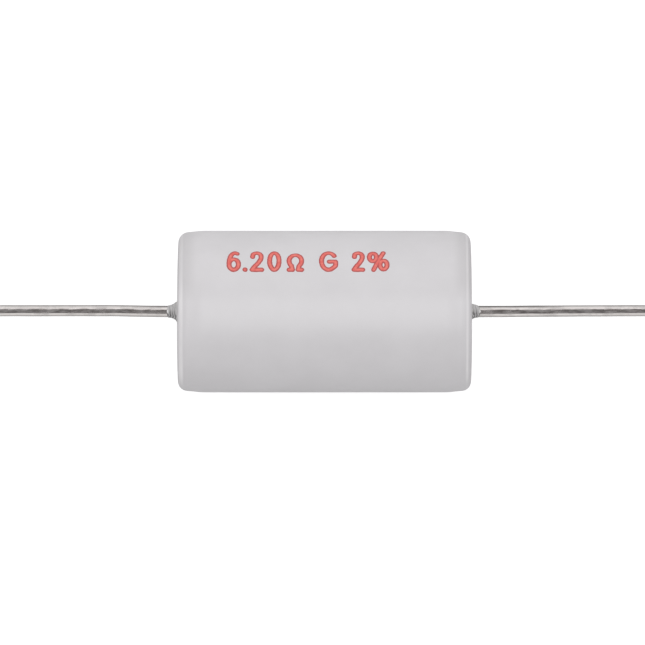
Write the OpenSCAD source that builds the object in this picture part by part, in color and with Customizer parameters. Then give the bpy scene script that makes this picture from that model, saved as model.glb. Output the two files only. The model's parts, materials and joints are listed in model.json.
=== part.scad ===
// Axial wirewound resistor: a moulded round body with one tinned wire lead at each end.
// Inside the moulding, a bare resistance wire is wound on a ceramic rod between two pressed
// end caps, and the leads are welded to the caps. The part is turned about the X axis, its
// origin is the centre of the body, and every length is in millimetres.

/* [Body] */
// Length of the moulded body over its end faces
body_l = 26.15; // [24:0.05:34]
// Diameter of the moulded body
body_d = 14.4; // [12:0.1:20]
// Radius of the rounded edge at each end
edge_r = 1; // [0.3:0.05:1.8]
// Length of the soft shoulder that leads into each rounded edge
shoulder_l = 1.3; // [0.5:0.1:2.5]
// How far the radius falls along the shoulder
shoulder_drop = 0.11; // [0.02:0.01:0.3]
// Diameter of the flat seat round the lead on each end face
face_flat_d = 4; // [3:0.1:6]
// How far each end face falls away from its flat seat to its edge
face_drop = 0.07; // [0.02:0.01:0.3]

/* [Leads] */
// Diameter of the tinned wire
lead_d = 1; // [0.6:0.05:1.3]
// Length of bare wire outside each end face
lead_l = 30; // [15:1:45]
// Thickness of the tin coat, which feathers out on the bare wire under each resin bead
tin_t = 0.02; // [0.01:0.005:0.05]
// Bevel left by the cutter at each tip
tip_bevel = 0.12; // [0.05:0.01:0.25]
// Diameter of the upset head that is welded to the cap
head_d = 2; // [1.6:0.1:3]
// Thickness of that head
head_t = 0.4; // [0.2:0.05:0.8]
// Length of the cone between the head and the wire
head_cone_l = 0.35; // [0.1:0.05:0.8]

/* [Exit seals] */
// Diameter of the resin bead at the left end face
left_seal_d = 1.8; // [1.4:0.1:2.8]
// Length of the left bead along the wire
left_seal_l = 0.95; // [0.5:0.05:2]
// Diameter of the resin bead at the right end face
right_seal_d = 1.4; // [1.3:0.1:2.8]
// Length of the right bead along the wire
right_seal_l = 0.8; // [0.5:0.05:2]
// Thickness of the thin resin lip where a bead runs out on the wire
seal_lip = 0.02; // [0.01:0.01:0.08]

/* [Core and caps] */
// Diameter of the ceramic rod
core_d = 8; // [6:0.1:9]
// Length of the ceramic rod
core_l = 17; // [14:0.1:19]
// Bevel at each end of the rod
core_bevel = 0.5; // [0.3:0.05:0.8]
// Thickness of the pressed cap's skirt
cap_wall = 0.4; // [0.25:0.05:0.6]
// Thickness of the cap's end
cap_end_t = 0.45; // [0.3:0.05:0.8]
// Length of rod that each cap covers
cap_depth = 3; // [2:0.1:4]
// Outer radius of the cap's drawn edge
cap_edge_r = 0.6; // [0.3:0.05:0.9]

/* [Winding] */
// Diameter of the resistance wire
wire_d = 0.36; // [0.2:0.01:0.42]
// Turns between the two caps
turns = 22; // [12:1:24]
// Turns of wire laid on each cap
cap_turns = 1.2; // [0.6:0.1:2]
// Share of the wire's thickness that the weld presses out at each end
weld_squash = 0.45; // [0.1:0.05:0.6]

/* [Fits] */
// Gap left between pieces that seat round each other
seat_gap = 0.02; // [0.01:0.005:0.04]

/* [Hidden] */

body_r = body_d / 2;
core_r = core_d / 2;
lead_r = lead_d / 2;
bare_r = lead_r - tin_t;
head_r = head_d / 2;
wire_r = wire_d / 2;

// Radii that fit round one another, from the rod outwards
cap_bore_r = core_r + seat_gap;
cap_r = cap_bore_r + cap_wall;
lead_bore_r = bare_r + seat_gap;
seal_bore_r = lead_r + seat_gap;

// Stations along the axis, from the middle outwards
mouth_x = core_l / 2 - cap_depth;
cap_out_x = core_l / 2 + cap_end_t;
face_x = body_l / 2;
tip_x = face_x + lead_l;

// The winding: equal steps of angle, a hexagonal section, and a pitch that fills the rod
wire_steps = 20;
wire_sides = 6;
pitch = 2 * mouth_x / turns;
wound_x = mouth_x + cap_turns * pitch;
winding_steps = round((turns + 2 * cap_turns) * wire_steps);
// A straight run between two steps lies this much closer to the axis than its ends
chord = cos(180 / wire_steps);
// The wire leaves the rod at climb_from and is clear of the cap's rim at climb_to
climb_from = mouth_x - 1.5 * wire_d;
climb_to = mouth_x - 0.4 * wire_d;
// Last part of a turn, in degrees, that the weld flattens
weld_sweep = 50;
// Half the width that the wire is spread to at the weld
weld_half_w = wire_r / (1 - weld_squash);

// How far the lead's bore is cut past the end face
cut_past = 1;

arc_steps = 10;
$fn = 96;

// Points on an arc about [x, y]
function arc(x, y, r, from, to) =
    [for (i = [0 : arc_steps]) let (a = from + (to - from) * i / arc_steps)
        [x + r * cos(a), y + r * sin(a)]];

// 0 up to the first value, 1 from the second, and a smooth rise between them
function ease(v, from, to) =
    let (t = max(0, min(1, (v - from) / (to - from)))) t * t * (3 - 2 * t);

// Turns a profile drawn as [radius, distance along the axis] about the X axis
module turned() {
    rotate([0, 90, 0]) rotate_extrude() children();
}

// A round bar on the X axis between two stations
module bar(r, from, to) {
    translate([from, 0, 0]) rotate([0, 90, 0]) cylinder(r = r, h = to - from);
}

// Draws its children for one side: 1 is right, -1 is left
module side(s) {
    if (s > 0) children();
    else mirror([1, 0, 0]) children();
}

// The moulding's outline: shoulder, rounded edge and end face, the same at both ends
module body_outline() {
    slope = atan(shoulder_drop / shoulder_l);
    lean = atan(face_drop / (body_r - face_flat_d / 2));
    edge_y = body_r - shoulder_drop - edge_r / cos(slope) + edge_r * tan(slope);
    edge_x = face_x - face_drop - edge_r;
    right = concat(
        [[body_r, edge_x - shoulder_l]],
        arc(edge_y, edge_x, edge_r, slope, 90 - lean),
        [[face_flat_d / 2, face_x], [0, face_x]]);
    polygon(concat(right, [for (i = [len(right) - 1 : -1 : 0]) [right[i][0], -right[i][1]]]));
}

// The hollow that the moulding keeps round the wound core and the leads
module element_hollow() {
    wire_out = wire_d + 2 * seat_gap;
    bar(core_r / chord + wire_out, -mouth_x, mouth_x);
    for (s = [-1, 1]) side(s) {
        bar(cap_r / chord + wire_out, climb_from - wire_r - seat_gap,
            wound_x + weld_half_w + seat_gap);
        bar(cap_r + seat_gap, mouth_x, cap_out_x);
        bar(head_r + seat_gap, cap_out_x - seat_gap, cap_out_x + head_t);
        translate([cap_out_x + head_t, 0, 0]) rotate([0, 90, 0])
            cylinder(r1 = head_r + seat_gap, r2 = lead_bore_r, h = head_cone_l);
        bar(lead_bore_r, cap_out_x, face_x + cut_past);
    }
}

module body() {
    color([0.83, 0.82, 0.83]) difference() {
        turned() body_outline();
        element_hollow();
    }
}

module ceramic_core() {
    half = core_l / 2;
    flat_r = core_r - core_bevel;
    color([0.93, 0.91, 0.86]) turned()
        polygon([[0, -half], [flat_r, -half], [core_r, core_bevel - half],
                 [core_r, half - core_bevel], [flat_r, half], [0, half]]);
}

// A drawn cup: the rod's end stands against its inner face
module end_cap(s) {
    bend_y = cap_r - cap_edge_r;
    bend_x = cap_out_x - cap_edge_r;
    inner_bend_r = min(core_bevel, cap_edge_r) / 2;
    color([0.72, 0.73, 0.75]) side(s) turned()
        polygon(concat(
            [[cap_bore_r, mouth_x], [cap_r, mouth_x]],
            arc(bend_y, bend_x, cap_edge_r, 0, 90),
            [[0, cap_out_x], [0, core_l / 2]],
            arc(cap_bore_r - inner_bend_r, core_l / 2 - inner_bend_r, inner_bend_r, 90, 0)));
}

module end_cap_left() end_cap(-1);
module end_cap_right() end_cap(1);

// Radius of the surface that the wire lies on, at a distance from the middle
function seat_r(x) =
    (core_r + (cap_r - core_r) * ease(abs(x), climb_from, climb_to) + seat_gap) / chord;

// How far the weld has flattened the wire, from 0 to 1, at one step of the winding
function weld(i) =
    let (left = min(i, winding_steps - i) * 360 / wire_steps)
        1 - ease(left, weld_sweep / 4, weld_sweep);

// The wire's section at one step: squashed on to the cap and widened where it is welded
function wire_ring(i) =
    let (x = -wound_x + 2 * wound_x * i / winding_steps,
         a = i * 360 / wire_steps,
         high = wire_r * (1 - weld_squash * weld(i)),
         wide = wire_r * wire_r / high,
         mid = seat_r(x) + high)
        [for (k = [0 : wire_sides - 1]) let (b = (k + 0.5) * 360 / wire_sides)
            [x + wide * cos(b), (mid + high * sin(b)) * cos(a), (mid + high * sin(b)) * sin(a)]];

module resistance_winding() {
    points = [for (i = [0 : winding_steps]) each wire_ring(i)];
    last = winding_steps * wire_sides;
    sides = [for (i = [0 : winding_steps - 1], k = [0 : wire_sides - 1])
        let (a = i * wire_sides, b = a + wire_sides, n = (k + 1) % wire_sides)
            each [[a + k, a + n, b + n], [a + k, b + n, b + k]]];
    near_end = [for (k = [wire_sides - 1 : -1 : 0]) k];
    far_end = [for (k = [0 : wire_sides - 1]) last + k];
    color([0.55, 0.53, 0.5])
        polyhedron(points, concat([near_end], sides, [far_end]), convexity = 10);
}

// The lead stands on the cap with an upset, coned head. It is bare inside the moulding,
// tinned from the end of its bead outwards, and bevelled at the tip.
module lead(s, seal_l) {
    cone_x = cap_out_x + head_t;
    color([0.78, 0.77, 0.76]) side(s) turned()
        polygon([[0, cap_out_x], [head_r, cap_out_x], [head_r, cone_x],
                 [bare_r, cone_x + head_cone_l], [bare_r, face_x], [lead_r, face_x + seal_l],
                 [lead_r, tip_x - tip_bevel], [lead_r - tip_bevel, tip_x], [0, tip_x]]);
}

module lead_left() lead(-1, left_seal_l);
module lead_right() lead(1, right_seal_l);

// Resin that has crept up the wire: a ring with a hollow, quarter-elliptic flank
module exit_seal(s, d, l) {
    lip_r = seal_bore_r + seal_lip;
    reach = d / 2 - lip_r;
    flank = [for (i = [0 : arc_steps]) let (a = 90 * i / arc_steps)
        [lip_r + reach * (1 - sin(a)), face_x + l * (1 - cos(a))]];
    color([0.62, 0.62, 0.62]) side(s) turned()
        polygon(concat(
            [[seal_bore_r, face_x], [d / 2, face_x]],
            [for (i = [1 : arc_steps]) flank[i]],
            [[seal_bore_r, face_x + l]]));
}

module exit_seal_left() exit_seal(-1, left_seal_d, left_seal_l);
module exit_seal_right() exit_seal(1, right_seal_d, right_seal_l);

body();
ceramic_core();
end_cap_left();
end_cap_right();
resistance_winding();
lead_left();
lead_right();
exit_seal_left();
exit_seal_right();
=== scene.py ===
# %% [markdown]
# This lesson dresses an axial wirewound resistor: a pale moulded body with a tinned wire lead
# at each end, lying on a white table and seen from straight above.
# The first lines load the measured model. Everything made later sits in that same frame:
# X runs along the leads, Z points up from the table, and lengths are in metres.

# %% Load the measured model
import json
import math

import bmesh
import bpy
import numpy as np
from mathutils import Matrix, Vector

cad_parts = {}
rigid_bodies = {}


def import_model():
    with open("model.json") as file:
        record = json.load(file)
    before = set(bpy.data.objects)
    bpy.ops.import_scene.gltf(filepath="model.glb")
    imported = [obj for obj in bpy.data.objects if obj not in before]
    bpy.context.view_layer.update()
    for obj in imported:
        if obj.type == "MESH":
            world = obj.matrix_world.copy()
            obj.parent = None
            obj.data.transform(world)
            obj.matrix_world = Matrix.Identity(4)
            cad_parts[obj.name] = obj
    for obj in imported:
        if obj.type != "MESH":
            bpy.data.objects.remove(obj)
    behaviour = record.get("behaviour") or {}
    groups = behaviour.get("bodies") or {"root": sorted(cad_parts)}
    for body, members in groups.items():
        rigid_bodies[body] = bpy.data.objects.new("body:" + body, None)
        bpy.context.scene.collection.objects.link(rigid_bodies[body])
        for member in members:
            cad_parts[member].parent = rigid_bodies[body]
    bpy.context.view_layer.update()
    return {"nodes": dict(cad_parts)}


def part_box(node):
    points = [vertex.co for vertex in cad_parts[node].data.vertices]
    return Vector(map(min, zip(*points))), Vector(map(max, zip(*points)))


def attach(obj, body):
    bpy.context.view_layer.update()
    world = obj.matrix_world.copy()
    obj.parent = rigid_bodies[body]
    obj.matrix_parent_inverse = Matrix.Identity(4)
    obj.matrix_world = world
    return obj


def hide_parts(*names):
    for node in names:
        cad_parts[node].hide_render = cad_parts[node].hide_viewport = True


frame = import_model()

print("nodes:", ", ".join(sorted(frame["nodes"])))

# %% [markdown]
# Lengths are easier to read in millimetres, so a short name turns them into metres. The
# body's and the leads' reach are read back from the measured model, so that a new piece
# can't drift from what it replaces.

# %% Sizes shared by the pieces
MM = 0.001
body_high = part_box("body")[1]
FACE_X = body_high[0]
BODY_R = body_high[2]
LEAD_R = 0.5 * MM
TIP_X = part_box("lead_right")[1][0]
TABLE_Z = -BODY_R
print(f"body {2 * FACE_X / MM:.2f} mm long and {2 * BODY_R / MM:.2f} mm across")
print(f"leads reach {TIP_X / MM:.2f} mm from the middle")

# %% [markdown]
# The photograph was taken from straight above with a long lens, so the body's sides look
# parallel. A camera far away with a long focal length gives that. Its place is found from two
# facts measured on the photograph: how many pixels one millimetre takes, and where the
# middle of the body falls.

# %% Camera
PICTURE_PX = 645
PX_PER_MM = 11.235
BODY_CENTRE_PX = (324.5, 311.56)
CAMERA_HEIGHT = 1.0
SENSOR_WIDTH = 36

camera_data = bpy.data.cameras.new("camera")
camera = bpy.data.objects.new("camera", camera_data)
bpy.context.scene.collection.objects.link(camera)
bpy.context.scene.camera = camera
middle_px = PICTURE_PX / 2
camera.location = (
    (middle_px - BODY_CENTRE_PX[0]) / PX_PER_MM * MM,
    (BODY_CENTRE_PX[1] - middle_px) / PX_PER_MM * MM,
    CAMERA_HEIGHT,
)
picture_width = PICTURE_PX / PX_PER_MM * MM
camera_data.sensor_width = SENSOR_WIDTH
camera_data.lens = SENSOR_WIDTH * CAMERA_HEIGHT / picture_width
camera_data.clip_end = 20
print(f"lens {camera_data.lens:.0f} mm, {CAMERA_HEIGHT} m above the table")

# %% [markdown]
# A mesh is made from its vertices and faces. The faces are then turned to look outward,
# because bump depends on it, and the shading is set to smooth for
# round pieces or to flat for plain sheets.

# %% A helper for new pieces
def new_piece(name, vertices, faces, smooth=True):
    mesh = bpy.data.meshes.new(name)
    mesh.from_pydata(vertices, [], faces)
    work = bmesh.new()
    work.from_mesh(mesh)
    bmesh.ops.recalc_face_normals(work, faces=work.faces)
    work.to_mesh(mesh)
    work.free()
    mesh.shade_smooth() if smooth else mesh.shade_flat()
    piece = bpy.data.objects.new(name, mesh)
    bpy.context.scene.collection.objects.link(piece)
    return piece


print("piece helper:", new_piece.__name__)

# %% [markdown]
# Most pieces of a resistor are turned or moulded round one axis. A lathe helper builds such
# a piece from its profile: each point becomes a ring of vertices, and neighbouring rings are
# joined with quads. An optional function moves single vertices a little, for what the
# real process leaves uneven. Blender's Screw modifier could do the same, but it offers no place
# for that unevenness.

# %% A lathe for round pieces
def lathe(name, profile, segments, closed=False, uneven=None):
    """profile is a list of (x, radius); closed joins its last ring to its first."""
    vertices, rings = [], []
    for x, radius in profile:
        if radius <= 0:
            rings.append([len(vertices)] * segments)
            vertices.append((x, 0, 0))
            continue
        rings.append(range(len(vertices), len(vertices) + segments))
        for k in range(segments):
            angle = math.tau * k / segments
            r = radius + (uneven(x, angle) if uneven else 0)
            vertices.append((x, r * math.sin(angle), r * math.cos(angle)))
    faces = []
    pairs = list(zip(rings, rings[1:]))
    if closed:
        pairs.append((rings[-1], rings[0]))
    for one, two in pairs:
        for k in range(segments):
            n = (k + 1) % segments
            corners = (one[k], one[n], two[n], two[k])
            faces.append(tuple(dict.fromkeys(corners)))
    return new_piece(name, vertices, faces)


def arc(x, r, radius, start, end, steps):
    """Points (x, r) on an arc, with angles in degrees from the outward direction."""
    angles = [math.radians(start + (end - start) * i / steps) for i in range(steps + 1)]
    return [(x + radius * math.sin(a), r + radius * math.cos(a)) for a in angles]


def mirrored(profile):
    return [(-x, r) for x, r in reversed(profile)]


print("lathe helpers:", ", ".join(f.__name__ for f in (lathe, arc, mirrored)))

# %% [markdown]
# The body is moulded round the wound rod in one shot. Its sides are straight, then fall off
# in a soft shoulder before the rounded edge, and the end faces are nearly flat. One profile
# holds all of that, and the inner line of the same profile is the hollow that the wound rod
# fills. A profile is drawn for one half, and its mirror image gives the other.

# %% Profile of the moulded body
EDGE_R = 1.0 * MM
SHOULDER_L = 1.3 * MM
SHOULDER_DROP = 0.11 * MM
FACE_DROP = 0.07 * MM
EDGE_X = FACE_X - FACE_DROP - EDGE_R
EDGE_CENTRE_R = BODY_R - SHOULDER_DROP - EDGE_R
# Corners of the end face, as the share of FACE_DROP and the radius in millimetres
FACE_POINTS = [(0.6, 5.4), (0.25, 3.6), (0, 2.0), (0, 1.2), (0, 0.5)]
# Corners of the hollow in millimetres, as the distance from the middle and the radius
HOLLOW = [(9.8, 0.5), (9.35, 1.02), (8.95, 1.02), (8.95, 4.44), (7.3, 4.44), (7.3, 4.87),
          (4.76, 4.87), (4.76, 4.45)]


def body_profile():
    slope = math.degrees(math.atan(SHOULDER_DROP / SHOULDER_L))
    shoulder_x = EDGE_X - SHOULDER_L
    side = [(shoulder_x * i / 6, BODY_R) for i in range(7)]
    soft = []
    for i in range(1, 10):
        t = i / 10
        soft.append((shoulder_x + SHOULDER_L * t, BODY_R - SHOULDER_DROP * t * t * (2 - t)))
    edge = arc(EDGE_X, EDGE_CENTRE_R, EDGE_R, slope, 88, 20)
    face = [(FACE_X - FACE_DROP * drop, r * MM) for drop, r in FACE_POINTS]
    half = side + soft + edge + face
    inside = [(x * MM, r * MM) for x, r in HOLLOW]
    return mirrored(half[1:]) + half + inside + mirrored(inside)


print("points in the body's profile:", len(body_profile()))

# %% [markdown]
# On the side away from the marking the body's rounded edges are a little fuller and its end
# faces a little flatter, as if the mould had filled better there. That is done by moving the
# lathe's vertices, because a single profile can't differ from side to side.

# %% Fuller edges on one side
EDGE_FILL = 0.015 * MM
EDGE_FILL_FAR_SIDE = 0.05 * MM
FACE_LEVEL = 0.045 * MM


def tighten_edges(piece):
    """Fills the edges out and levels the end faces, most away from the marking."""
    for vertex in piece.data.vertices:
        radius = math.hypot(vertex.co.y, vertex.co.z)
        far_side = (1 - vertex.co.y / radius) / 2
        out = abs(vertex.co.x) - EDGE_X
        if out > 0:
            reach = min(1, radius / EDGE_CENTRE_R) * min(1, out / EDGE_R) ** 2
            room = FACE_X - abs(vertex.co.x)
            level = min(FACE_LEVEL * far_side * reach, room)
            vertex.co.x += math.copysign(level, vertex.co.x)
        up = radius - EDGE_CENTRE_R
        if out <= 0 or up <= 0:
            continue
        fill = EDGE_FILL + EDGE_FILL_FAR_SIDE * far_side
        push = fill * math.sin(2 * math.atan2(out, up)) ** 2 / math.hypot(out, up)
        grow = 1 + push * up / radius
        vertex.co.x += math.copysign(push * out, vertex.co.x)
        vertex.co.y *= grow
        vertex.co.z *= grow


print("edges are filled out by up to", round((EDGE_FILL + EDGE_FILL_FAR_SIDE) / MM, 3), "mm")

# %% [markdown]
# No mould is perfect. Very small waves in the radius keep the reflections from looking
# machined. The new body takes the place of the measured one and rides with the part's only
# rigid body. The leads and the beads will do the same.

# %% The moulded body
WAVE_H = 0.002 * MM
BODY_SEGMENTS = 240


def body_waves(x, angle):
    """Two low waves that don't line up, so that no pattern shows."""
    wave = math.sin(3 * angle + 210 * x) + 0.6 * math.sin(5 * angle - 340 * x + 1.3)
    return WAVE_H * wave


moulded_body = lathe("moulded_body", body_profile(), BODY_SEGMENTS, closed=True,
                     uneven=body_waves)
tighten_edges(moulded_body)
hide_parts("body")
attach(moulded_body, "root")
print("moulded body:", len(moulded_body.data.polygons), "faces")

# %% [markdown]
# Each lead is drawn copper wire, dipped in tin. Inside the body it ends in a flat, coned head
# on the cap, and at the tip the cutter leaves a small bevel. The tin coat is a few thousandths
# of a millimetre thick and freezes in slightly uneven runs. The lathe's rings lie close enough
# for those runs to be true shape.

# %% Shape of a lead
BEAD_L = {"left": 0.95 * MM, "right": 0.8 * MM}
LEAD_RINGS = 150
# Corners of the head in millimetres, as the distance from the middle and the radius
HEAD = [(8.95, 0), (8.95, 1.0), (9.35, 1.0), (9.7, 0.48)]
BARE_R = 0.48 * MM
TIP_BEVEL = 0.12 * MM
TIP_FACE_R = 0.2 * MM
SMOOTH_TIP = 0.3 * MM
TIN_COAT = 0.006 * MM
SLOW_RUN = 0.006 * MM
FAST_RUN = 0.0025 * MM


def lead_profile(bead_end):
    start = [(x * MM, r * MM) for x, r in HEAD]
    under = [(FACE_X, BARE_R), (bead_end, LEAD_R)]
    stop = TIP_X - TIP_BEVEL
    run = [(bead_end + (stop - bead_end) * i / LEAD_RINGS, LEAD_R)
           for i in range(1, LEAD_RINGS + 1)]
    bevel = arc(stop, LEAD_R - TIP_BEVEL, TIP_BEVEL, 0, 80, 4)[1:]
    return start + under + run + bevel + [(TIP_X, TIP_FACE_R), (TIP_X, 0)]


def tin_runs(side):
    """How far the tin stands out, with other runs on the left lead than on the right one."""
    def runs(x, angle):
        if abs(x) < FACE_X or abs(x) > TIP_X - SMOOTH_TIP:
            return 0
        slow = math.sin(310 * x + 2 * side) * math.cos(angle - 90 * x)
        fast = math.sin(1370 * x + angle) + 0.7 * math.sin(2210 * x - 2 * angle + side)
        return TIN_COAT + SLOW_RUN * slow + FAST_RUN * fast
    return runs


print("points in a lead's profile:", len(lead_profile(FACE_X + BEAD_L["left"])))

# %% [markdown]
# Handling has bent both wires by less than a tenth of a millimetre. The bend is done on the
# finished vertices, because a lathe can only turn a straight piece. It starts at the body's
# face, so that the head stays where it is welded.

# %% The two leads
LEAD_SEGMENTS = 40
HAND_BEND = 0.076 * MM


def hand_bend(piece, end):
    """Bends the wire sideways between the body's face and a distance from the middle."""
    for vertex in piece.data.vertices:
        t = min(1.0, max(0.0, (abs(vertex.co.x) - FACE_X) / (end - FACE_X)))
        vertex.co.y += HAND_BEND * t * t * (3 - 2 * t)


def add_lead(side, word, bend_end):
    profile = lead_profile(FACE_X + BEAD_L[word])
    if side < 0:
        profile = mirrored(profile)
    piece = lathe(f"lead_wire_{word}", profile, LEAD_SEGMENTS, uneven=tin_runs(side))
    hand_bend(piece, bend_end)
    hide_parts(f"lead_{word}")
    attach(piece, "root")
    return piece


lead_wires = [add_lead(-1, "left", 20 * MM), add_lead(1, "right", 28 * MM)]
print("lead wires:", [len(p.data.polygons) for p in lead_wires])

# %% [markdown]
# Thin resin creeps out between the body and the wire while the part is moulded. It climbs
# the wire and sets in fine rings. Its upper side rises in a shallow curve and its lower side
# sags in a hollow one, so its flare is a blend of those two outlines.

# %% Shape of a resin bead
BEAD_BORE_R = 0.52 * MM
BEAD_LIP_R = 0.54 * MM
BEAD_INSET = 0.002 * MM
BEAD_RINGS = 28
RING_H = 0.008 * MM


def bead_profile(bead_l):
    """The thin lip alone; the flare is added by the lathe's unevenness."""
    turns = [math.radians(90 * i / BEAD_RINGS) for i in range(BEAD_RINGS + 1)]
    flank = [(FACE_X + bead_l * (1 - math.cos(a)), BEAD_LIP_R) for a in turns]
    return [(FACE_X - BEAD_INSET, BEAD_BORE_R)] + flank + [(FACE_X + bead_l, BEAD_BORE_R)]


def bead_flare(bead_l, upper, lower, bow):
    """How far the resin stands out, with upper and lower as its reach at the end face."""
    def shape(x, angle):
        left = 1 - (abs(x) - FACE_X) / bead_l
        if left > 1 or left < 0.001:
            return 0
        hollow = 1 - math.sqrt(1 - left * left)
        share = (1 + math.sin(angle)) / 2
        ring = math.sin(17 * left + 1.5 * math.sin(2 * angle) + math.sin(angle)) * left
        return upper * left ** bow * share + lower * hollow * (1 - share) + RING_H * ring
    return shape


print("points in a bead's profile:", len(bead_profile(BEAD_L["left"])))

# %% [markdown]
# Towards the camera the resin has run out in a tongue, so the bead's length changes round the
# wire. Each vertex also stores how far the resin has crept there. The finish needs that for
# the painted highlight at the thin end.

# %% The two resin beads
BEAD_SEGMENTS = 72


def pull_tongue(piece, shortest):
    """Shortens the bead away from the camera's side, where the resin climbed farthest."""
    for vertex in piece.data.vertices:
        out = abs(vertex.co.x) - FACE_X
        if out <= 0:
            continue
        angle = math.atan2(vertex.co.y, vertex.co.z)
        reach = shortest + (1 - shortest) * max(0, math.cos(angle)) ** 2
        vertex.co.x = math.copysign(FACE_X + out * reach, vertex.co.x)


def store_number(piece, name, values):
    layer = piece.data.attributes.new(name, "FLOAT", "POINT")
    layer.data.foreach_set("value", values)


def add_bead(side, word, upper, lower, bow, shortest):
    bead_l = BEAD_L[word]
    profile = bead_profile(bead_l)
    if side < 0:
        profile = mirrored(profile)
    piece = lathe(f"resin_bead_{word}", profile, BEAD_SEGMENTS, closed=True,
                  uneven=bead_flare(bead_l, upper, lower, bow))
    pull_tongue(piece, shortest)
    store_number(piece, "creep", [(abs(v.co.x) - FACE_X) / bead_l for v in piece.data.vertices])
    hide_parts(f"exit_seal_{word}")
    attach(piece, "root")
    return piece


resin_beads = [
    add_bead(-1, "left", upper=0.42 * MM, lower=0.62 * MM, bow=1.6, shortest=0.9),
    add_bead(1, "right", upper=0.17 * MM, lower=0.3 * MM, bow=0.7, shortest=0.75),
]
print("resin beads:", [len(p.data.polygons) for p in resin_beads])

# %% [markdown]
# The value is stamped in red ink along the body. Each of its signs is a few strokes of a round
# pen. Blender's text object would bring a font's own shapes, so the strokes are drawn from
# straight lines, ovals and smooth lines through a few points.

# %% Ovals and smooth lines
def oval(cx, cy, rx, ry, start=0, end=360, steps=28):
    turn = [math.radians(start + (end - start) * i / steps) for i in range(steps + 1)]
    return [(cx + rx * math.cos(a), cy + ry * math.sin(a)) for a in turn]


def bent(points, steps=8):
    """A smooth line through the points."""
    line = []
    ends = [points[0], *points, points[-1]]
    for p0, p1, p2, p3 in zip(ends, ends[1:], ends[2:], ends[3:]):
        for i in range(steps):
            t = i / steps
            line.append(tuple(
                0.5 * (2 * b + (c - a) * t + (2 * a - 5 * b + 4 * c - d) * t * t
                       + (3 * b - a - 3 * c + d) * t ** 3)
                for a, b, c, d in zip(p0, p1, p2, p3)))
    return line + [points[-1]]


print("points in a full oval:", len(oval(0, 0, 1, 1)))

# %% [markdown]
# The marking is a made-up one: a value in ohms, the standard code letter for its tolerance,
# and the tolerance itself. The strokes of each sign are written as centre lines in a box that
# is one wide and one high. A second list says where along the body each sign stands.

# %% Signs of the marking
SIGNS = {
    "six": [oval(0.5, 0.3, 0.5, 0.3),
            bent([(0.0, 0.32), (0.03, 0.55), (0.2, 0.83), (0.55, 1.0), (0.86, 0.95)])],
    "dot": [[(0.5, 0.0), (0.5, 0.01)]],
    "two": [bent([(0.03, 0.74), (0.12, 0.92), (0.48, 1.0), (0.86, 0.9), (0.93, 0.68),
                  (0.72, 0.44), (0.3, 0.2), (0.0, 0.0)]), [(0.0, 0.0), (1.0, 0.0)]],
    "nought": [oval(0.5, 0.5, 0.5, 0.5)],
    "ohm": [oval(0.5, 0.5, 0.5, 0.36, -52, 232),
            [(0.81, 0.216), (0.73, 0.0)], [(0.73, 0.0), (1.0, 0.0)],
            [(0.19, 0.216), (0.27, 0.0)], [(0.27, 0.0), (0.0, 0.0)]],
    "gee": [oval(0.5, 0.5, 0.5, 0.5, 38, 300), [(0.98, 0.46), (0.55, 0.46)],
            bent([(0.75, 0.067), (0.9, 0.16), (0.98, 0.24), (0.98, 0.46)])],
    "percent": [oval(0.2, 0.73, 0.2, 0.25), oval(0.8, 0.27, 0.2, 0.25),
                [(0.78, 1.0), (0.24, 0.0)]],
}
# Each sign's place: its name and the photograph's left and right pixel of the inked width
LAYOUT = [("six", 226.3, 241.3), ("dot", 243, 247.1), ("two", 249.3, 264.3),
          ("nought", 266.6, 281.6), ("ohm", 286, 304), ("gee", 318.2, 338),
          ("two", 350.6, 364.8), ("percent", 365.8, 389)]
print("signs:", len(LAYOUT), "strokes:", sum(len(SIGNS[name]) for name, *_ in LAYOUT))

# %% [markdown]
# The boxes are now stretched to their real size. Ink reaches past a centre line by the pen's
# radius, so each box leaves that much room at its sides and below. All strokes become short
# straight segments on the flat sheet of the marking.

# %% Centre lines of the strokes
PEN_R = 0.25 * MM
SIGN_H = 1.89 * MM


def px_to_x(px):
    return (px + 0.5 - BODY_CENTRE_PX[0]) / PX_PER_MM * MM


def stroke_segments():
    found = []
    for name, left, right in LAYOUT:
        x0, x1 = px_to_x(left) + PEN_R, px_to_x(right) - PEN_R
        for stroke in SIGNS[name]:
            points = [(x0 + (x1 - x0) * u, PEN_R + SIGN_H * v) for u, v in stroke]
            found += [a + b for a, b in zip(points, points[1:])]
    return np.array(found)


segments = stroke_segments()
print("segments:", len(segments))

# %% [markdown]
# Where two strokes cross, wet ink flows into one film. So the film isn't built stroke by
# stroke. A fine grid is laid over the marking, and each grid point gets its depth inside the
# nearest stroke. A slight wave in that depth makes the ink's outline as unsteady as a stamp's.

# %% Depth of the ink
GRID = 0.03 * MM
SLIVER = 0.02 * GRID
STAMP_WAVE = 0.012 * MM


def ink_depth(us, vs, segments):
    """How deep each grid point lies inside the ink; below zero is bare body.

    Depths very close to zero count as thin ink, so that no sliver of a face arises.
    """
    grid_u, grid_v = np.meshgrid(us, vs, indexing="ij")
    nearest = np.full(grid_u.shape, 1.0)
    for ax, ay, bx, by in segments:
        near = np.abs(us - (ax + bx) / 2) < abs(bx - ax) / 2 + 3 * PEN_R
        pu, pv = grid_u[near], grid_v[near]
        dx, dy = bx - ax, by - ay
        t = np.clip(((pu - ax) * dx + (pv - ay) * dy) / (dx * dx + dy * dy + 1e-18), 0, 1)
        away = np.hypot(pu - ax - t * dx, pv - ay - t * dy)
        nearest[near] = np.minimum(nearest[near], away)
    along = np.sin(grid_u * 9100 + np.sin(grid_v * 7300) * 2)
    depth = PEN_R + STAMP_WAVE * along * np.sin(grid_v * 10300 + 1.7) - nearest
    return np.where(np.abs(depth) < SLIVER, SLIVER, depth)


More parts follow.
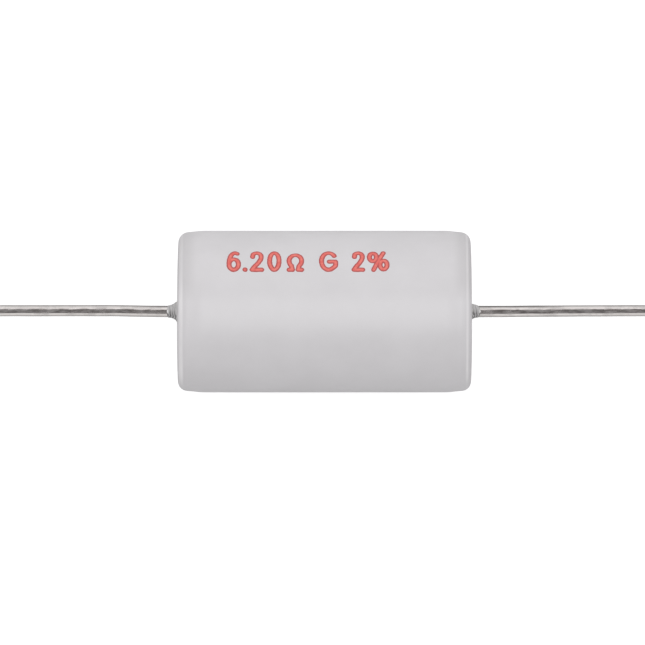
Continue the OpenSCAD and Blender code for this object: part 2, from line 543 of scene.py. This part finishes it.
pad = 2 * PEN_R
us = np.arange(segments[:, [0, 2]].min() - pad, segments[:, [0, 2]].max() + pad, GRID)
vs = np.arange(-pad, SIGN_H + 3 * pad, GRID)
depth = ink_depth(us, vs, segments)
print("grid:", depth.shape, "of which inked:", round(float((depth > 0).mean()), 2))

# %% [markdown]
# The outline of the film runs where the depth is zero. In each square of the grid, the
# corners under ink are kept, and a new point is set on each side that the outline crosses.
# Neighbouring squares share those points, so the film has no seams. A remeshed solid would
# need a far finer grid for edges as crisp as these.

# %% Outline of the ink film
def ink_film():
    """Points (along, across, depth) of the film laid flat, and its faces."""
    flat, index, faces = [], {}, []

    def point(i, j):
        if (i, j) not in index:
            index[i, j] = len(flat)
            flat.append((us[i], vs[j], depth[i, j]))
        return index[i, j]

    def crossing(a, b):
        key = (min(a, b), max(a, b))
        if key not in index:
            t = depth[a] / (depth[a] - depth[b])
            index[key] = len(flat)
            flat.append((us[a[0]] + (us[b[0]] - us[a[0]]) * t,
                         vs[a[1]] + (vs[b[1]] - vs[a[1]]) * t, 0.0))
        return index[key]

    for i in range(len(us) - 1):
        for j in range(len(vs) - 1):
            ring = [(i, j), (i + 1, j), (i + 1, j + 1), (i, j + 1)]
            wet_ink_and_glint = [depth[c] > 0 for c in ring]
            if not any(wet_ink_and_glint):
                continue
            corners = []
            for k in range(4):
                n = (k + 1) % 4
                if wet_ink_and_glint[k]:
                    corners.append(point(*ring[k]))
                if wet_ink_and_glint[k] != wet_ink_and_glint[n]:
                    corners.append(crossing(ring[k], ring[n]))
            if len(corners) > 2:
                faces.append(corners)
    return flat, faces


flat, faces = ink_film()
print("flat film:", len(flat), "points and", len(faces), "faces")

# %% [markdown]
# The flat film is then wrapped round the body. Its top swells softly from the edge of each
# stroke, and its underside sinks a little into the moulding, so that no light gets between
# them. The depth is kept on the vertices, because the real ink is darker where it pooled
# along its edges.

# %% The ink film on the body
INK_T = 0.012 * MM
SINK = 0.02 * MM
SOFT_EDGE = 0.06 * MM
LINE_ANGLE = math.radians(28.9)


def on_body(u, v, height):
    angle = LINE_ANGLE + v / BODY_R
    r = BODY_R + height
    return u, r * math.sin(angle), r * math.cos(angle)


def wrap_ink(name):
    vertices, depths, under = [], [], {}
    for u, v, deep in flat:
        rise = min(1.0, deep / SOFT_EDGE)
        height = -SINK / 2 + (INK_T + SINK / 2) * math.sin(rise * math.pi / 2)
        vertices.append(on_body(u, v, height))
        depths.append(min(1.0, deep / PEN_R))
    for n, (u, v, deep) in enumerate(flat):
        if deep <= 0:
            under[n] = n
            continue
        under[n] = len(vertices)
        vertices.append(on_body(u, v, -SINK))
        depths.append(min(1.0, deep / PEN_R))
    back = [[under[n] for n in reversed(face)] for face in faces]
    piece = new_piece(name, vertices, faces + back)
    store_number(piece, "ink_depth", depths)
    return piece


value_marking = wrap_ink("value_marking")
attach(value_marking, "root")
print("ink film:", len(value_marking.data.polygons), "faces")

# %% [markdown]
# The finishes are built from shader nodes. Written out one by one, nodes and links soon hide
# what a finish does, so a few helpers each add one node, set or link its inputs, and return
# the output that the next one needs.

# %% Helpers for shader nodes
def add(tree, kind, **settings):
    node = tree.nodes.new(kind)
    for key, value in settings.items():
        setattr(node, key, value)
    return node


def set_or_link(tree, socket, value):
    if isinstance(value, (int, float)):
        socket.default_value = value
    elif isinstance(value, tuple):
        socket.default_value = (*value, 1)
    else:
        tree.links.new(value, socket)


def math_node(tree, operation, *values):
    node = add(tree, "ShaderNodeMath", operation=operation)
    for socket, value in zip(node.inputs, values):
        set_or_link(tree, socket, value)
    return node.outputs[0]


def times(tree, a, b):
    return math_node(tree, "MULTIPLY", a, b)


print("node helpers:", ", ".join(f.__name__ for f in (add, set_or_link, math_node, times)))

# %% [markdown]
# A mask says where an effect lies: 0 is nowhere and 1 is fully there. Most masks here are a
# soft step over a distance in the object's own coordinates, which are the frame's. A second
# helper turns a mask back into a range of values.

# %% Helpers for masks
def spread(tree, value, low, high, to_low=0.0, to_high=1.0):
    """Turns the range from low to high into a soft step."""
    node = add(tree, "ShaderNodeMapRange", interpolation_type="SMOOTHSTEP")
    tree.links.new(value, node.inputs["Value"])
    for label, number in (("From Min", low), ("From Max", high),
                          ("To Min", to_low), ("To Max", to_high)):
        node.inputs[label].default_value = number
    return node.outputs["Result"]


def vary(tree, factor, low, high):
    """Turns a factor from 0 to 1 into a value from low to high."""
    node = add(tree, "ShaderNodeMapRange")
    tree.links.new(factor, node.inputs["Value"])
    node.inputs["To Min"].default_value = low
    node.inputs["To Max"].default_value = high
    return node.outputs["Result"]


def object_axes(tree):
    """The object's own X, Y and Z, which are the frame's."""
    place = add(tree, "ShaderNodeTexCoord")
    axes = add(tree, "ShaderNodeSeparateXYZ")
    tree.links.new(place.outputs["Object"], axes.inputs[0])
    return axes.outputs["X"], axes.outputs["Y"], axes.outputs["Z"]


print("mask helpers:", ", ".join(f.__name__ for f in (spread, vary, object_axes)))

# %% [markdown]
# Two effects turn up in several finishes. Each is a node group with named inputs, so that
# every finish can set its own scales. Both are made of noise in the object's coordinates,
# which may be stretched along the part.

# %% Helpers for node groups
def group_with(name, inputs, outputs):
    tree = bpy.data.node_groups.new(name, "ShaderNodeTree")
    for label, value in inputs:
        socket = tree.interface.new_socket(label, in_out="INPUT", socket_type="NodeSocketFloat")
        socket.default_value = value
    for label in outputs:
        tree.interface.new_socket(label, in_out="OUTPUT", socket_type="NodeSocketFloat")
    return tree, tree.nodes.new("NodeGroupInput"), tree.nodes.new("NodeGroupOutput")


def stretched_noise(tree, along, across, detail, rough):
    """Noise in object coordinates, scaled along X and across it."""
    place = add(tree, "ShaderNodeTexCoord")
    scale = add(tree, "ShaderNodeCombineXYZ")
    for socket, value in zip(scale.inputs, (along, across, across)):
        tree.links.new(value, socket)
    product = add(tree, "ShaderNodeVectorMath", operation="MULTIPLY")
    tree.links.new(place.outputs["Object"], product.inputs[0])
    tree.links.new(scale.outputs[0], product.inputs[1])
    noise = add(tree, "ShaderNodeTexNoise")
    noise.inputs["Scale"].default_value = 1
    noise.inputs["Detail"].default_value = detail
    noise.inputs["Roughness"].default_value = rough
    tree.links.new(product.outputs[0], noise.inputs["Vector"])
    return noise.outputs["Fac"]


print("group helpers:", group_with.__name__, stretched_noise.__name__)

# %% [markdown]
# Mottle is the cloudy variation of anything cast, moulded or fired: large soft clouds, rare
# specks, and a fine height for the bump.

# %% The mottle group
mottle, given, made = group_with(
    "mottle", [("Cloud Scale", 300.0), ("Speck Scale", 6000.0)], ["Cloud", "Speck", "Height"])
cloud_scale, speck_scale = given.outputs["Cloud Scale"], given.outputs["Speck Scale"]
cloud = stretched_noise(mottle, cloud_scale, cloud_scale, 4, 0.55)
speck = stretched_noise(mottle, speck_scale, speck_scale, 3, 0.6)
mottle.links.new(spread(mottle, cloud, 0.3, 0.7), made.inputs["Cloud"])
mottle.links.new(spread(mottle, speck, 0.62, 0.75), made.inputs["Speck"])
mottle.links.new(speck, made.inputs["Height"])
print("node group:", mottle.name)

# %% [markdown]
# Drawn streaks are the fine lines that a die leaves along a wire, with dull patches between
# them. The height for the bump joins both.

# %% The drawn streaks group
streaks, given, made = group_with(
    "drawn_streaks", [("Along", 250.0), ("Across", 9000.0), ("Patch Scale", 700.0)],
    ["Streak", "Patch", "Height"])
patch_scale = given.outputs["Patch Scale"]
line = stretched_noise(streaks, given.outputs["Along"], given.outputs["Across"], 3, 0.6)
patch = stretched_noise(streaks, patch_scale, patch_scale, 5, 0.65)
streaks.links.new(spread(streaks, line, 0.35, 0.65), made.inputs["Streak"])
streaks.links.new(spread(streaks, patch, 0.42, 0.62), made.inputs["Patch"])
streaks.links.new(math_node(streaks, "MULTIPLY_ADD", line, 0.45, patch), made.inputs["Height"])
print("node group:", streaks.name)

# %% [markdown]
# Every finish starts in the same way: a material with its Principled shader, and one of the
# two effects beside it. Colours are then laid over each other by masks, as a painter glazes,
# and a bump gives the light something to catch on.

# %% Helpers for a finish
def start_finish(name, group, values):
    material = bpy.data.materials.new(name)
    material.use_nodes = True
    tree = material.node_tree
    effect = add_effect(tree, group, values)
    return material, tree, tree.nodes["Principled BSDF"], effect


def add_effect(tree, group, values):
    effect = add(tree, "ShaderNodeGroup", node_tree=group)
    for label, value in values.items():
        effect.inputs[label].default_value = value
    return effect.outputs


def blend_colours(tree, factor, one, two):
    node = add(tree, "ShaderNodeMix", data_type="RGBA")
    tree.links.new(factor, node.inputs["Factor"])
    set_or_link(tree, node.inputs[6], one)
    set_or_link(tree, node.inputs[7], two)
    return node.outputs[2]


def raise_bump(tree, shader, height, distance, strength=1.0):
    node = add(tree, "ShaderNodeBump")
    node.inputs["Distance"].default_value = distance
    node.inputs["Strength"].default_value = strength
    tree.links.new(height, node.inputs["Height"])
    tree.links.new(node.outputs["Normal"], shader.inputs["Normal"])


def wear(piece, material):
    piece.data.materials.clear()
    piece.data.materials.append(material)


print("finish helpers:", start_finish.__name__, blend_colours.__name__, raise_bump.__name__)

# %% [markdown]
# The moulding compound is a pale, slightly cool grey, full of fine mineral powder. It comes out
# of the mould satin. So the colour hardly varies, with faint clouds and rare specks, the gloss
# is broken by roughness, and a very fine bump stands for the mould's texture.

# %% Finish of the moulded body
moulding, tree, shader, effect = start_finish(
    "satin_moulding", mottle, {"Cloud Scale": 260.0, "Speck Scale": 7000.0})
cloudy = blend_colours(tree, effect["Cloud"], (0.67, 0.653, 0.67), (0.697, 0.68, 0.698))
specked = blend_colours(tree, vary(tree, effect["Speck"], 0.0, 0.25), cloudy, (0.56, 0.545, 0.54))
tree.links.new(vary(tree, effect["Cloud"], 0.34, 0.4), shader.inputs["Roughness"])
shader.inputs["Specular IOR Level"].default_value = 0.3
raise_bump(tree, shader, effect["Height"], 0.004 * MM, 0.5)
wear(moulded_body, moulding)
print("finish:", moulding.name)

# %% [markdown]
# The edge round each end carries a painted highlight, a lighter and uneven band where the
# rounded edge catches light, and the shoulder beside it on the marking's side has painted shade.
# Both follow from where a point lies on the body, so both masks are soft steps in X and Y.
# The band's outer side lies a little farther left at both ends, so it uses a shifted X.

# %% Painted rim highlight and painted shade on the moulded body
# BAND_START and BAND_SHIFT place the painted highlight round each end
BAND_START = FACE_X - 0.62 * MM
BAND_SHIFT = 0.085 * MM

x, y, _ = object_axes(tree)
along = math_node(tree, "ABSOLUTE", x)
shifted = math_node(tree, "ABSOLUTE", math_node(tree, "ADD", x, BAND_SHIFT))
inner_side = spread(tree, along, BAND_START, BAND_START + 0.2 * MM)
outer_side = spread(tree, shifted, FACE_X - 0.18 * MM, FACE_X - 0.32 * MM)
band = times(tree, inner_side, outer_side)
above = vary(tree, spread(tree, y, 0.2 * MM, 3.2 * MM), 1.0, 0.6)
below = vary(tree, spread(tree, y, -5.6 * MM, -6.9 * MM), 1.0, 0.1)
band = times(tree, band, times(tree, above, below))
# Painted shade: the shoulder on the marking's side is darkened in the colour
shoulder = times(tree, spread(tree, along, FACE_X - 1.9 * MM, FACE_X - 0.8 * MM),
                 spread(tree, y, 0.6 * MM, 3.0 * MM))
shoulder_shaded = blend_colours(tree, vary(tree, shoulder, 0.0, 0.5), specked, (0.55, 0.535, 0.545))
# Painted highlight: a lighter band round each end edge, made patchy by the clouds
patchy_rim_highlight = times(tree, band, vary(tree, effect["Cloud"], 1.0, 0.6))
highlit = blend_colours(tree, patchy_rim_highlight, shoulder_shaded, (0.86, 0.84, 0.855))
tree.links.new(highlit, shader.inputs["Base Color"])
print("worn band starts", round(BAND_START / MM, 2), "mm from the middle")

# %% [markdown]
# Dipped tin is a soft white metal that reflects like a slightly breathed-on mirror. The die's
# lines run along the wire and stretch the reflections, and dull oxide lies on it in patches.
# Streaks and patches drive the colour a little and the roughness more. Painted shade darkens
# the upper edge near the body and reaches farther on the right lead, so it uses a shifted X.
# Finer runs of oxide lie along the top, where the wires were handled.

# %% Finish of the tinned leads
EDGE_SHADE_SHIFT = 2.5 * MM

tinned, tree, shader, effect = start_finish(
    "dipped_tin", streaks, {"Along": 320.0, "Across": 9000.0, "Patch Scale": 900.0})
lined = blend_colours(tree, effect["Streak"], (0.65, 0.615, 0.6), (0.78, 0.74, 0.725))
dulled = blend_colours(tree, vary(tree, effect["Patch"], 0.0, 0.3), lined, (0.4, 0.385, 0.38))
x, y, z = object_axes(tree)
shifted = math_node(tree, "ABSOLUTE", math_node(tree, "SUBTRACT", x, EDGE_SHADE_SHIFT))
# Painted shade: the upper edge of each wire near the body is darkened in the colour
edge_shade = times(tree, spread(tree, shifted, FACE_X + 6.5 * MM, FACE_X + 3.2 * MM),
             spread(tree, y, 0.32 * MM, 0.43 * MM))
edge_shade = times(tree, edge_shade, vary(tree, effect["Streak"], 0.72, 0.45))
edge_shaded = blend_colours(tree, edge_shade, dulled, (0.1, 0.09, 0.09))
oxide = add_effect(tree, streaks, {"Along": 1000.0, "Across": 4000.0})
runs = blend_colours(tree, oxide["Streak"], (0.47, 0.425, 0.415), (0.87, 0.815, 0.805))
top = spread(tree, z, 0.44 * MM, 0.485 * MM)
tree.links.new(blend_colours(tree, top, edge_shaded, runs), shader.inputs["Base Color"])
tree.links.new(vary(tree, effect["Patch"], 0.08, 0.3), shader.inputs["Roughness"])
shader.inputs["Metallic"].default_value = 1.0
shader.inputs["Specular Tint"].default_value = (0.5, 0.5, 0.5, 1)
raise_bump(tree, shader, effect["Height"], 0.014 * MM)
for piece in lead_wires:
    wear(piece, tinned)
print("finish:", tinned.name)

# %% [markdown]
# The beads are a thin grey resin over bright wire. Fine rings show where the resin stopped
# and crept on. The rings are a wave texture along the wire, bent by noise, which changes
# colour and height together. On the lower side, painted shade darkens the creases between
# them. At the thin end of the tongue, towards the camera, a painted highlight lightens the
# colour.

# %% Finish of the resin beads
resin, tree, shader, effect = start_finish(
    "crept_resin", mottle, {"Cloud Scale": 1800.0, "Speck Scale": 9000.0})
place = add(tree, "ShaderNodeTexCoord")
rings = add(tree, "ShaderNodeTexWave", wave_type="BANDS", bands_direction="X")
for label, value in (("Scale", 1300), ("Distortion", 6), ("Detail", 2), ("Detail Scale", 1.2)):
    rings.inputs[label].default_value = value
tree.links.new(place.outputs["Object"], rings.inputs["Vector"])
ringed = blend_colours(tree, rings.outputs["Fac"], (0.44, 0.43, 0.43), (0.6, 0.59, 0.59))
_, y, z = object_axes(tree)
# Painted shade: the lower side and its creases are darkened in the colour
low_side = spread(tree, y, 0.25 * MM, -0.35 * MM)
crease_shade = times(tree, low_side, spread(tree, rings.outputs["Fac"], 0.95, 0.4))
crease_shaded = blend_colours(tree, crease_shade, ringed, (0.1, 0.095, 0.1))
clouded = blend_colours(tree, vary(tree, effect["Cloud"], 0, 0.4), crease_shaded, (0.5, 0.49, 0.49))
# Painted highlight: the thin end of the tongue is lightened in the colour to a glint
creep = add(tree, "ShaderNodeAttribute", attribute_name="creep")
glint_at_thin_end = times(tree, spread(tree, creep.outputs["Fac"], 0.84, 0.93),
                 spread(tree, z, 0.515 * MM, 0.538 * MM))
wet_ink_and_glint = blend_colours(tree, glint_at_thin_end, clouded, (0.96, 0.95, 0.94))
tree.links.new(wet_ink_and_glint, shader.inputs["Base Color"])
tree.links.new(vary(tree, effect["Cloud"], 0.22, 0.38), shader.inputs["Roughness"])
shader.inputs["Coat Weight"].default_value = 0.4
shader.inputs["Coat Roughness"].default_value = 0.08
raise_bump(tree, shader, rings.outputs["Fac"], 0.02 * MM, 0.7)
for piece in resin_beads:
    wear(piece, resin)
print("finish:", resin.name)

# %% [markdown]
# The marking's ink is a warm salmon red in the middle of a stroke and darker along its edge,
# where it pooled. The stored depth drives that change. Small clouds make the film thinner and
# thicker in turn, so its red is paler and deeper from place to place.

# %% Finish of the marking
ink, tree, shader, effect = start_finish(
    "marking_ink", mottle, {"Cloud Scale": 3200.0, "Speck Scale": 12000.0})
stored = add(tree, "ShaderNodeAttribute", attribute_name="ink_depth")
pooled = spread(tree, stored.outputs["Fac"], 0.38, 0.7)
film = blend_colours(tree, effect["Cloud"], (0.76, 0.12, 0.103), (0.86, 0.215, 0.18))
stroke = blend_colours(tree, pooled, (0.46, 0.075, 0.07), film)
tree.links.new(stroke, shader.inputs["Base Color"])
tree.links.new(vary(tree, effect["Cloud"], 0.38, 0.5), shader.inputs["Roughness"])
raise_bump(tree, shader, effect["Height"], 0.003 * MM, 0.5)
wear(value_marking, ink)
print("finish:", ink.name)

# %% [markdown]
# Inside the moulding sit the ceramic rod, its two caps and the winding. Nobody sees them in
# the photograph, but the part is complete, so each keeps its measured shape and gets its
# own finish: unglazed cream steatite, dull plated steel and oxidised resistance wire.

# %% Finishes of the inner pieces
def inner_finish(name, group, values, dark, light, metallic, rough, bump):
    material, tree, shader, effect = start_finish(name, group, values)
    tree.links.new(blend_colours(tree, effect[0], dark, light), shader.inputs["Base Color"])
    tree.links.new(vary(tree, effect[1], *rough), shader.inputs["Roughness"])
    shader.inputs["Metallic"].default_value = metallic
    raise_bump(tree, shader, effect["Height"], bump * MM)
    return material


steatite = inner_finish("cream_steatite", mottle, {"Cloud Scale": 500.0, "Speck Scale": 9000.0},
                        (0.78, 0.74, 0.64), (0.86, 0.83, 0.75), 0.0, (0.55, 0.75), 0.01)
cap_plate = inner_finish("dull_cap_plate", streaks, {"Along": 4000.0, "Across": 1500.0},
                         (0.5, 0.5, 0.51), (0.62, 0.62, 0.63), 1.0, (0.3, 0.45), 0.006)
heating = inner_finish("oxidised_wire", streaks, {"Along": 6000.0, "Across": 6000.0},
                       (0.28, 0.26, 0.24), (0.42, 0.39, 0.36), 1.0, (0.35, 0.5), 0.004)
inner = {"ceramic_core": steatite, "end_cap_left": cap_plate, "end_cap_right": cap_plate,
         "resistance_winding": heating}
for name, material in inner.items():
    wear(frame["nodes"][name], material)
print("inner pieces dressed:", len(inner))

# %% [markdown]
# The table is a plain white sheet under the part, and the whole ground of the picture. Its
# own colour is a pale matte white. Rays that come straight from the camera, or through
# something clear, also see a light of its own, so that it reads as white while it still takes
# the part's shadow close to where the body touches it. Reflections see much less of that
# light, and least beside the part, which gives each wire its dark lower and upper edge.

# %% The table
TABLE_HALF = 1.6
OWN_LIGHT = 0.64
REFLECTED_NEAR = 0.03
REFLECTED_FAR = 0.11

corners = [(-TABLE_HALF, -TABLE_HALF, TABLE_Z), (TABLE_HALF, -TABLE_HALF, TABLE_Z),
           (TABLE_HALF, TABLE_HALF, TABLE_Z), (-TABLE_HALF, TABLE_HALF, TABLE_Z)]
table = new_piece("table", corners, [(0, 1, 2, 3)], smooth=False)
paper = bpy.data.materials.new("white_table")
paper.use_nodes = True
tree = paper.node_tree
shader = tree.nodes["Principled BSDF"]
shader.inputs["Base Color"].default_value = (0.65, 0.65, 0.65, 1)
shader.inputs["Roughness"].default_value = 0.9
shader.inputs["Specular IOR Level"].default_value = 0.1
rays = add(tree, "ShaderNodeLightPath").outputs
plain_sight = math_node(tree, "ADD", rays["Is Camera Ray"], rays["Is Transmission Ray"])
_, y, _ = object_axes(tree)
beside = spread(tree, math_node(tree, "ABSOLUTE", y), 8 * MM, 16 * MM)
reflected = times(tree, rays["Is Glossy Ray"], vary(tree, beside, REFLECTED_NEAR, REFLECTED_FAR))
glow = math_node(tree, "ADD", times(tree, plain_sight, OWN_LIGHT), reflected)
shader.inputs["Emission Color"].default_value = (1, 1, 1, 1)
tree.links.new(glow, shader.inputs["Emission Strength"])
wear(table, paper)
print("table at", round(TABLE_Z / MM, 2), "mm")

# %% [markdown]
# The light is a white tent with one opening, where the camera looks in. The whole tent is
# drawn in the world's background, by the direction that a ray leaves in, so no card can stand
# in another view's way. Light Path tells what kind of ray asks for the light.

# %% The world and its directions
world = bpy.data.worlds.new("light_tent")
bpy.context.scene.world = world
world.use_nodes = True
tree = world.node_tree
background = tree.nodes["Background"]
rays = add(tree, "ShaderNodeLightPath").outputs
toward = add(tree, "ShaderNodeTexCoord")
parts = add(tree, "ShaderNodeSeparateXYZ")
tree.links.new(toward.outputs["Generated"], parts.inputs[0])
across, up_picture, front = (parts.outputs[axis] for axis in "XYZ")


def by_ray(ray, otherwise, light):
    """Gives the light to one kind of ray, and the other value to the rest."""
    node = add(tree, "ShaderNodeMix", data_type="FLOAT")
    tree.links.new(rays[ray], node.inputs["Factor"])
    set_or_link(tree, node.inputs["A"], otherwise)
    set_or_link(tree, node.inputs["B"], light)
    return node.outputs["Result"]


print("world:", world.name)

# %% [markdown]
# Reflections show the tent as it is. Its walls are white, a little brighter at the top of the
# picture, and its dark opening draws the dark stripe down the middle of each lead.

# %% What reflections see
TENT_TOP = 1.0
TENT_LOW = 0.95
OPENING = 0.245

tent = spread(tree, up_picture, -0.3, 0.6, TENT_LOW, TENT_TOP)
hole_low = spread(tree, up_picture, -0.88, -0.7)
hole_high = spread(tree, up_picture, 0.52, 0.58, 1, 0)
hole_sides = spread(tree, math_node(tree, "ABSOLUTE", across), 0.85, 0.97, 1, 0)
hole = times(tree, times(tree, hole_low, hole_high), hole_sides)
walls = times(tree, tent, math_node(tree, "SUBTRACT", 1, hole))
mirrored_light = math_node(tree, "ADD", walls, times(tree, hole, OPENING))
print("tent:", TENT_LOW, "to", TENT_TOP, "and its opening:", OPENING)

# %% [markdown]
# What falls on matte surfaces is the tent's light as a whole: even, and a little stronger
# from the top of the picture, from the camera's side and from the rims, and weaker along the
# part. Rays from the camera, straight or through something clear, see plain white.

# %% What falls on matte surfaces
FILL = 0.66
FILL_UP = 0.27
FILL_FRONT = 0.46
FILL_SIDES = 0.3
FILL_RIM = 0.18

fill = math_node(tree, "ADD", times(tree, up_picture, FILL_UP), FILL)
fill = math_node(tree, "ADD", fill, times(tree, front, FILL_FRONT))
fill = math_node(tree, "SUBTRACT", fill, times(tree, times(tree, across, across), FILL_SIDES))
rim = times(tree, times(tree, up_picture, up_picture), FILL_RIM)
fill = math_node(tree, "ADD", fill, rim)

light = by_ray("Is Glossy Ray", fill, mirrored_light)
light = by_ray("Is Transmission Ray", light, 1.0)
light = by_ray("Is Camera Ray", light, 1.0)
tree.links.new(light, background.inputs["Strength"])
background.inputs["Color"].default_value = (1, 1, 1, 1)
print("fill:", FILL, FILL_UP, FILL_FRONT, FILL_SIDES, FILL_RIM)

# %% [markdown]
# One long lamp stands behind the camera. It gives the faint sheen that satin plastic shows along
# its middle, and a little of the glint where a resin bead runs out on its wire, whose rest is a
# painted highlight in the bead's colour. It shines on those pieces alone, and only in reflection,
# because the tent already lights everything.

# %% The lamp
glossy_pieces = bpy.data.collections.new("glossy_pieces")
for piece in (moulded_body, value_marking, *resin_beads):
    glossy_pieces.objects.link(piece)

lamp_data = bpy.data.lights.new("sheen_lamp", "AREA")
lamp_data.shape = "RECTANGLE"
lamp_data.size = 0.55
lamp_data.size_y = 2.2
lamp_data.energy = 26
sheen_lamp = bpy.data.objects.new("sheen_lamp", lamp_data)
sheen_lamp.location = (0, -0.1, 2.6)
sheen_lamp.rotation_euler = (-sheen_lamp.location).to_track_quat("-Z", "Y").to_euler()
sheen_lamp.visible_camera = False
sheen_lamp.visible_diffuse = False
sheen_lamp.light_linking.receiver_collection = glossy_pieces
bpy.context.scene.collection.objects.link(sheen_lamp)
print("lamp:", lamp_data.energy, "W at", tuple(round(v, 2) for v in sheen_lamp.location))

# %% [markdown]
# Last comes the plain view transform, so that a colour shows as it is written.

# %% Finish
bpy.context.scene.view_settings.view_transform = "Standard"
